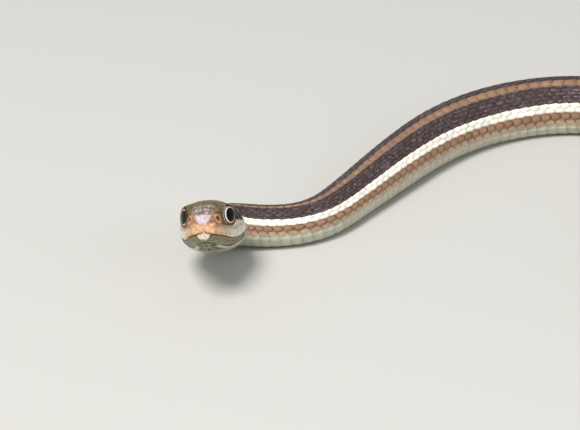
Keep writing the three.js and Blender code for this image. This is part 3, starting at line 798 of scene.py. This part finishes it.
outward, forward = math.sin(math.radians(EYE_OUTWARD)), math.cos(math.radians(EYE_OUTWARD))
for side, name, node, crescent in EYES:
    at = place(EYE_AT - np.array([0, forward, outward, 0]),
               (EYE_ACROSS + np.array([0, outward, -forward, 0])) * side, EYE_UP + np.array([0, 0, 0, 1]))
    sight, front, above = ((at[i] - at[0]) / np.linalg.norm(at[i] - at[0]) for i in (1, 2, 3))
    middle = at[0] + sight * EYE_SINK * MM
    bpy.ops.object.select_all(action="DESELECT")
    bpy.ops.mesh.primitive_uv_sphere_add(segments=96, ring_count=90, radius=EYE_RADIUS * MM,
                                         location=middle.tolist(),
                                         rotation=Vector(sight.tolist()).to_track_quat("Z", "Y").to_euler())
    eye = bpy.context.object
    eye.name = name
    eye.scale = (1, 1, EYE_DOME / EYE_RADIUS)
    bpy.ops.object.transform_apply(location=True, rotation=True, scale=True)
    bpy.ops.object.shade_smooth()
    offset = (np.array([v.co[:] for v in eye.data.vertices]) - middle) / MM
    layer = eye.data.color_attributes.new("Tint", "FLOAT_COLOR", "POINT")
    colours = np.column_stack([eye_tint(offset @ front, offset @ above, crescent), np.ones(len(offset))])
    layer.data.foreach_set("color", colours.astype(np.float32).ravel())
    eye.data.materials.append(eye_gloss)
    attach(eye, "root")
    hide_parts(node)

# Scales: small overlapping horny plates in slanting rows, each rooted in the hide at its front
# and free at its pointed rear, with a low keel along its middle. One is shaped and then copied
# all over the body, in rows that run its whole length.
ACROSS_STEPS = np.array([-1, -0.62, -0.22, 0, 0.22, 0.62, 1])
ALONG_STEPS = np.array([0, 0.3, 0.55, 0.75, 0.9, 1.0])
SCALE_OUTLINE = np.array([0.7, 1.0, 0.92, 0.66, 0.36, 0.08])
SCALE_PITCH = np.array([(13, 1.05), (17, 1.2), (22, 1.4), (40, 1.6), (60, 1.8), (80, 2.0), (120, 2.3),
                        (300, 2.3), (375, 2.0), (430, 1.7), (500, 1.35), (560, 0.9)])
SCALE_REACH = 1.5
SCALE_SPREAD = 1.75
SCALE_ROOT = 0.33
SCALE_SINK = 0.10
SCALE_LIFT = 0.22
SCALE_DOME = 0.10
SCALE_UNDERSIDE = 0.20
UNEVEN = 0.01
FULL_HALF_WIDTH = 4
# The baked map: its margin, its span, and the patch of one scale in it.
MAP_EDGE = 0.02
MAP_SPAN = 0.96
PATCH = (0.0014, 0.0028)


def scale_master():
    bpy.ops.object.select_all(action="DESELECT")
    bpy.ops.mesh.primitive_grid_add(x_subdivisions=len(ACROSS_STEPS) - 1, y_subdivisions=len(ALONG_STEPS) - 1,
                                    size=2)
    master = bpy.context.object
    bpy.ops.object.mode_set(mode="EDIT")
    bpy.ops.mesh.select_all(action="SELECT")
    bpy.ops.mesh.extrude_region_move(TRANSFORM_OT_translate={"value": (0, 0, -1)})
    bpy.ops.object.mode_set(mode="OBJECT")
    co = np.array([v.co[:] for v in master.data.vertices])
    faces = [tuple(p.vertices) for p in master.data.polygons]
    bpy.data.objects.remove(master)
    i = np.rint((co[:, 0] + 1) / 2 * (len(ACROSS_STEPS) - 1)).astype(int)
    j = np.rint((co[:, 1] + 1) / 2 * (len(ALONG_STEPS) - 1)).astype(int)
    return ACROSS_STEPS[i], SCALE_OUTLINE[j], ALONG_STEPS[j], co[:, 2] < -0.5, faces


SCALE_U, SCALE_WIDE, SCALE_V, SCALE_UNDER, SCALE_FACES = scale_master()


def stations(start, end):
    rows = [start]
    while rows[-1] < end:
        rows.append(rows[-1] + float(column(SCALE_PITCH, 1, np.array([rows[-1]]))[0]))
    return np.array(rows[:-1])


def row_places(start, end, rows):
    """Roots of the scales. Each row is from one angle to another; neighbours are half a scale apart."""
    pitches = stations(start, end)
    step = column(SCALE_PITCH, 1, pitches)
    roots = [pitches + shift * step for low, high, shift in rows]
    turns = [np.full(len(pitches), (low + high) / 2) for low, high, shift in rows]
    widths = [np.full(len(pitches), high - low) for low, high, shift in rows]
    return np.concatenate(roots), np.concatenate(turns), np.concatenate(widths)


def bake_map(piece, table):
    layer = piece.data.uv_layers.new(name="OFBake")
    corner = np.empty(len(piece.data.loops), dtype=np.int32)
    piece.data.loops.foreach_get("vertex_index", corner)
    layer.data.foreach_set("uv", table[corner].astype(np.float32).ravel())


def lay_scales(name, places, paint, keel, seed, finish):
    """Copies of the master scale, rooted at places along and round the body."""
    roots, turns, widths = places
    draw = np.random.default_rng(seed)
    count = len(roots)
    pitch = column(SCALE_PITCH, 1, roots)
    size = np.minimum(1, column(SECTIONS, 1, roots) / FULL_HALF_WIDTH)
    along = roots[:, None] + (SCALE_V[None, :] - SCALE_ROOT) * (pitch * SCALE_REACH)[:, None]
    angle = turns[:, None] + (SCALE_U * SCALE_WIDE)[None, :] * (widths / 2 * SCALE_SPREAD)[:, None]
    ridge = np.exp(-(SCALE_U / 0.2) ** 2) * np.sin(np.pi * np.clip(SCALE_V * 0.94 + 0.06, 0, 1))
    dome = (1 - SCALE_U ** 2) * SCALE_DOME * SCALE_WIDE + keel * ridge
    above = SCALE_LIFT * SCALE_V ** 1.2 - SCALE_SINK + dome
    height = np.where(SCALE_UNDER, SCALE_LIFT * SCALE_V - SCALE_UNDERSIDE, above)[None, :] * size[:, None]
    height = height + draw.uniform(-UNEVEN, UNEVEN, (count, 1))
    spots = place(*raised(along.ravel(), angle.ravel(), height.ravel()))
    centre, edge, fleck_and_sheen = paint(roots[:, None], turns[:, None], along, angle, draw)
    rim = np.maximum(np.abs(SCALE_U) ** 3, ramp(SCALE_V, 0.7, 1.0))[None, :, None]
    # Each scale's tone varies at random, and its keel is painted lighter as a painted highlight.
    shade = (1 + draw.uniform(-0.12, 0.12, (count, 1, 1))) * (1 + 0.18 * ridge[None, :, None])
    tint = (centre * (1 - rim) + edge * rim) * shade
    # The flecks gather on the keel, where on the dark back they are a painted lilac sheen.
    share = fleck_and_sheen * (0.35 + 0.65 * ridge)[None, :]
    faces = [tuple(v + k * len(SCALE_U) for v in face) for k in range(count) for face in SCALE_FACES]
    piece = new_piece(name, spots, faces, np.dstack([tint, share]).reshape(-1, 4))
    span = roots.max() - roots.min() + 1
    patch_u = MAP_EDGE + MAP_SPAN * ((roots - roots.min()) / span)[:, None] + (SCALE_U * PATCH[0])[None, :]
    patch_v = MAP_EDGE + MAP_SPAN * ((turns + 180) / 360)[:, None] + ((SCALE_V - 0.5) * PATCH[1])[None, :]
    bake_map(piece, np.stack([patch_u.ravel(), patch_v.ravel()], axis=1))
    piece.data.materials.append(finish)
    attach(piece, "root")


BACK_EDGE = (0.014, 0.010, 0.012)
SPINE_EDGE = (0.20, 0.115, 0.07)
STRIPE_EDGE = (0.80, 0.72, 0.55)
AMBER = (0.36, 0.17, 0.05)
FLANK_EDGE = (0.105, 0.052, 0.024)
LOW_FLANK = (0.43, 0.30, 0.20)
TIP = (0.80, 0.78, 0.68)


def body_paint(roots, turns, along, angle, draw):
    """Colours of the middle and of the rim of each scale, by the row that it is in."""
    row, turn = np.abs(turns) + 0 * angle, np.abs(angle)
    shape = angle.shape + (3,)
    centre, edge = np.zeros(shape) + np.array(BACK), np.zeros(shape) + np.array(BACK_EDGE)
    spine_width = column(SPINE_WIDTH, 1, along)
    spine = 1 - ramp(turn, spine_width - 1.5, spine_width + 1.5)
    centre, edge = mixed(centre, SPINE, spine), mixed(edge, SPINE_EDGE, spine)
    nape = (1 - ramp(along, 13.5, 16.5)) * (row < STRIPE_TOP)
    centre, edge = mixed(centre, OLIVE, 0.8 * nape), mixed(edge, BACK, 0.8 * nape)
    top = column(STRIPE_START, 1, along)
    starting = np.where(along < STRIPE_SET, ramp(turn, top - 2, top + 2), 1)
    stripe = 1.0 * (row > STRIPE_TOP) * (row < STRIPE_LOW) * starting
    centre, edge = mixed(centre, STRIPE, stripe), mixed(edge, STRIPE_EDGE, stripe)
    lines = np.maximum(ramp(turn, STRIPE_LOW - 2.5, STRIPE_LOW + 1),
                       0.7 * (1 - ramp(turn, STRIPE_TOP - 3, STRIPE_TOP)))
    centre, edge = mixed(centre, AMBER, stripe * lines), mixed(edge, AMBER, stripe * lines)
    flank = 1.0 * (row > STRIPE_LOW)
    centre, edge = mixed(centre, FLANK, flank), mixed(edge, FLANK_EDGE, flank)
    lowest = flank * (row > LOW_ROW)
    centre = mixed(mixed(centre, LOW_FLANK, lowest), BELLY, lowest * ramp(turn, 93, 101))
    edge = mixed(edge, TIP, lowest * ramp(turn, 88, 94))
    cheek = flank * (1 - ramp(along, FLANK_START, FLANK_FULL))
    centre, edge = mixed(centre, CREAM, cheek), mixed(edge, THROAT, cheek)
    temple = flank * (1 - ramp(turn, top - 2, top + 2)) * (along < 16)
    centre, edge = mixed(centre, BACK, temple), mixed(edge, BACK_EDGE, temple)
    # Painted lilac sheen on the keels of the dark back, of random strength on each scale.
    fleck_and_sheen = draw.uniform(0.15, 0.95, roots.shape) * (row < STRIPE_TOP) * (1 - spine)
    return centre, edge, fleck_and_sheen


# Every row from the middle of the back down: its edges in degrees. Rows 6 and 7 are the pale stripe.
ROW_EDGES = [5, 13.5, 22, 30.5, 39, STRIPE_TOP, 57.5, STRIPE_LOW, LOW_ROW, BELLY_EDGE]
# Each group of rows: its name, first and last row, where it starts, and the height of its keels.
SCALE_GROUPS = [("back", 1, 5, 13.5, 0.09), ("stripe", 6, 7, 13.2, 0.06), ("flank", 8, 9, 13.3, 0.06)]
# The flecks of the scales are a painted lilac sheen.
scale_finish = hide_finish("horny_scale", size=1900, amount=0.20, fleck_and_sheen=(0.25, 0.20, 0.225),
                           roughness=0.38, shine=0.9, relief=0.35)


def side_rows(first, last, side):
    rows = []
    for number in range(first, last + 1):
        edges = sorted((side * ROW_EDGES[number - 1], side * ROW_EDGES[number]))
        rows.append((edges[0], edges[1], 0.5 * (number % 2)))
    return rows


lay_scales("spine_scales", row_places(13.9, VENT, [(-5, 5, 0)]), body_paint, keel=0.09, seed=11,
           finish=scale_finish)
for side, word, seed in ((1, "right", 20), (-1, "left", 30)):
    for group, first, last, start, keel in SCALE_GROUPS:
        lay_scales(f"{group}_scales_{word}", row_places(start, VENT, side_rows(first, last, side)),
                   body_paint, keel, seed + first, scale_finish)

# Tail: the same horny scales, rooted in the hide in fewer rows, and fewer again towards its fine
# tip. Each zone is given by its start, its end, the number of its rows and a seed.
TAIL_ZONES = [(VENT, 430, 13, 41), (430, 490, 9, 42), (490, 556, 7, 43)]
TAIL_SPREAD = 104


def tail_paint(roots, turns, along, angle, draw):
    centre = body_tint(along, angle, 2.0)
    # Painted lilac sheen on the back of the tail.
    return centre, centre * 0.5, 0.3 * (np.abs(angle) < STRIPE_TOP)


for number, (start, end, count, seed) in enumerate(TAIL_ZONES, start=1):
    edges = np.linspace(-TAIL_SPREAD, TAIL_SPREAD, count + 1)
    rows = [(low, high, 0.5 * (i % 2)) for i, (low, high) in enumerate(zip(edges[:-1], edges[1:]))]
    lay_scales(f"tail_scales_{number}", row_places(start, end, rows), tail_paint, keel=0.05, seed=seed,
               finish=scale_finish)

# Scutes: wide smooth plates under the body, one to each row of scales, that overlap to the rear
# like tiles and grip the ground. Under the tail they are smaller and in pairs.
SCUTE_U = np.linspace(-1, 1, 19)
SCUTE_V = np.array([0, 0.3, 0.65, 0.92, 1.0])
SCUTE_REACH = 1.22
SCUTE_ROOT = 0.15
SCUTE_BOW = 0.25
SCUTE_BASE = 0.02
SCUTE_LIFT = 0.12
SCUTE_THICKNESS = 0.1
SCUTE_PATCH = (0.003, 0.0015)


def lay_scutes(name, start, end, edges, seed, finish):
    draw = np.random.default_rng(seed)
    roots = stations(start, end)
    u, v = (part.ravel() for part in np.meshgrid(SCUTE_U, SCUTE_V, indexing="ij"))
    wide, deep = len(SCUTE_U), len(SCUTE_V)
    rim = ([i * deep for i in range(wide)] + [(wide - 1) * deep + j for j in range(1, deep)]
           + [i * deep + deep - 1 for i in range(wide - 2, -1, -1)] + list(range(deep - 2, 0, -1)))
    spots, tints, faces, maps = [], [], [], []
    for low, high in edges:
        middle, half = (low + high) / 2, (high - low) / 2
        for root in roots:
            pitch = float(column(SCALE_PITCH, 1, np.array([root]))[0])
            size = min(1, float(column(SECTIONS, 1, np.array([root]))[0]) / FULL_HALF_WIDTH)
            along = root + (v - SCUTE_ROOT) * pitch * SCUTE_REACH - SCUTE_BOW * pitch * np.abs(u) ** 3
            turn = middle + u * half
            turn = np.where(turn > 180, turn - 360, turn)
            top = (SCUTE_BASE + SCUTE_LIFT * v ** 1.2) * size
            base = len(spots) * len(u)
            shade = 1 - 0.15 * ramp(v, 0.85, 1.0) - 0.3 * (1 - ramp(v, 0.1, 0.4))
            shade = (1 + draw.uniform(-0.05, 0.05)) * shade
            for height in (top, top - SCUTE_THICKNESS * size):
                spots.append(place(*raised(along, turn, height)))
                tints.append(np.column_stack([shade[:, None] * np.array(BELLY)[None, :], 0 * u]))
                reached = (root - start) / (end - start + 3)
                patch_u = MAP_EDGE + MAP_SPAN * reached + (v - 0.5) * SCUTE_PATCH[0]
                patch_v = MAP_EDGE + MAP_SPAN * middle / 360 + u * SCUTE_PATCH[1]
                maps.append(np.stack([patch_u, patch_v], axis=1))
            under = base + len(u)
            for i in range(wide - 1):
                for j in range(deep - 1):
                    a = i * deep + j
                    faces.append((base + a, base + a + deep, base + a + deep + 1, base + a + 1))
                    faces.append((under + a, under + a + 1, under + a + deep + 1, under + a + deep))
            for a, b in zip(rim, rim[1:] + rim[:1]):
                faces.append((base + a, under + a, under + b, base + b))
    piece = new_piece(name, np.vstack(spots), faces, np.vstack(tints))
    bake_map(piece, np.vstack(maps))
    piece.data.materials.append(finish)
    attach(piece, "root")


scute_finish = hide_finish("belly_scute", size=900, amount=0.10, fleck_and_sheen=WHITE, roughness=0.30, shine=1.0,
                           relief=0.2)
lay_scutes("belly_scutes", 17.5, VENT, [(96, 264)], 51, scute_finish)
lay_scutes("tail_scutes", VENT, 556, [(102, 179), (181, 258)], 52, scute_finish)

# Throat: small smooth scales without keels, between the jaw and the first scutes. They sit in soft
# hide that can stretch when the snake swallows, so they are small and stand in many short rows.
throat_finish = hide_finish("throat_scale", size=1200, amount=0.12, fleck_and_sheen=WHITE, roughness=0.34, shine=0.8,
                            relief=0.25)
THROAT_ROWS = 17


def throat_paint(roots, turns, along, angle, draw):
    centre = mixed(np.zeros(angle.shape + (3,)) + np.array(BELLY), THROAT, 1 - ramp(along, 13, 17))
    return centre, centre * 0.8, 0 * angle


edges = np.linspace(BELLY_EDGE, 360 - BELLY_EDGE, THROAT_ROWS + 1)
rows = []
for number, (low, high) in enumerate(zip(edges[:-1], edges[1:])):
    over = 360 if low + high > 360 else 0
    rows.append((low - over, high - over, 0.5 * (number % 2)))
lay_scales("throat_scales", row_places(12.6, 18.6, rows), throat_paint, keel=0.0, seed=61,
           finish=throat_finish)
